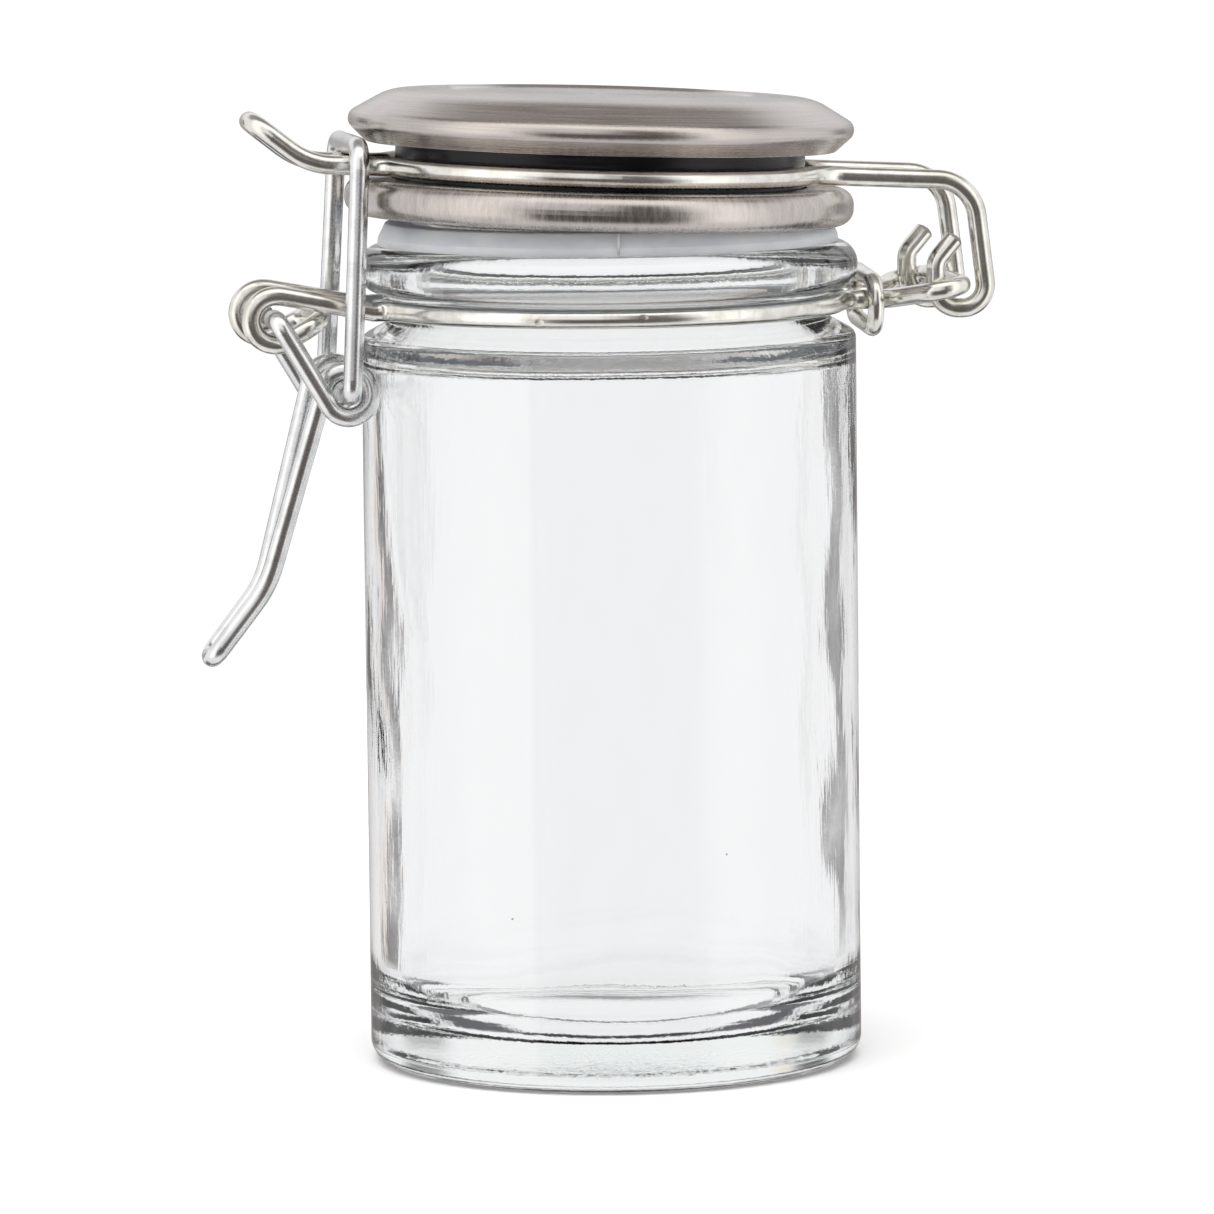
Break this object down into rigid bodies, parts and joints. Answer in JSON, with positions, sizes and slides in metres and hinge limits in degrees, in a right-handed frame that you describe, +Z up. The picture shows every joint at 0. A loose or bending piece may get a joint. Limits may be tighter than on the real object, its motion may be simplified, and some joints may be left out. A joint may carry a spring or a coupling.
{
  "type": "bail clamp jar",
  "caption": "Small straight glass jar with a brushed metal lid held by a wire bail clasp with an over-centre lever, a wire hinge and a soft seal.",
  "frame": {"origin": "centre of the glass foot, on the surface that the jar stands on", "axes": "+Z up, +X towards the hinge of the lid, -X towards the clasp"},
  "size_m": [0.0768, 0.0492, 0.0947],
  "materials": {
    "clear_glass": "clear pressed glass, faint green at the edges",
    "milky_silicone": "translucent milky silicone, satin",
    "plated_wire": "bright plated steel wire",
    "brushed_lid_steel": "steel brushed round the lid",
    "black_plastic": "black plastic, slightly glossy"
  },
  "bodies": {
    "jar": {"glass_jar": "clear_glass", "seal_ring": "milky_silicone", "neck_wire": "plated_wire", "ring_clip": "plated_wire"},
    "lid_frame": {"lid_wire": "plated_wire"},
    "lid_disc": {"lid_cap": "brushed_lid_steel", "lid_core": "black_plastic", "lid_pan": "brushed_lid_steel"},
    "lever": {"lever_handle": "plated_wire"},
    "bail": {"bail_wire": "plated_wire"}
  },
  "joints": [
    {"name": "lid_hinge", "type": "hinge", "parent": "jar", "child": "lid_frame", "pos_m": [0.0333, 0, 0.0752], "axis": [0, 1, 0], "range_deg": [0, 180]},
    {"name": "lid_turn", "type": "hinge", "parent": "lid_frame", "child": "lid_disc", "pos_m": [-0.0009, 0, 0.0809], "axis": [0.0366, 0, 0.9993], "continuous": true},
    {"name": "lever_swing", "type": "hinge", "parent": "jar", "child": "lever", "pos_m": [-0.0331, 0, 0.07305], "axis": [0, 1, 0], "range_deg": [0, 150]},
    {"name": "bail_swing", "type": "hinge", "parent": "lever", "child": "bail", "pos_m": [-0.0264, 0, 0.0659], "axis": [0, -1, 0], "range_deg": [0, 150], "deforming": ["bail_wire"]}
  ],
  "couplings": [
    {"joint": "bail_swing", "follows": "lever_swing", "ratio": 1}
  ]
}
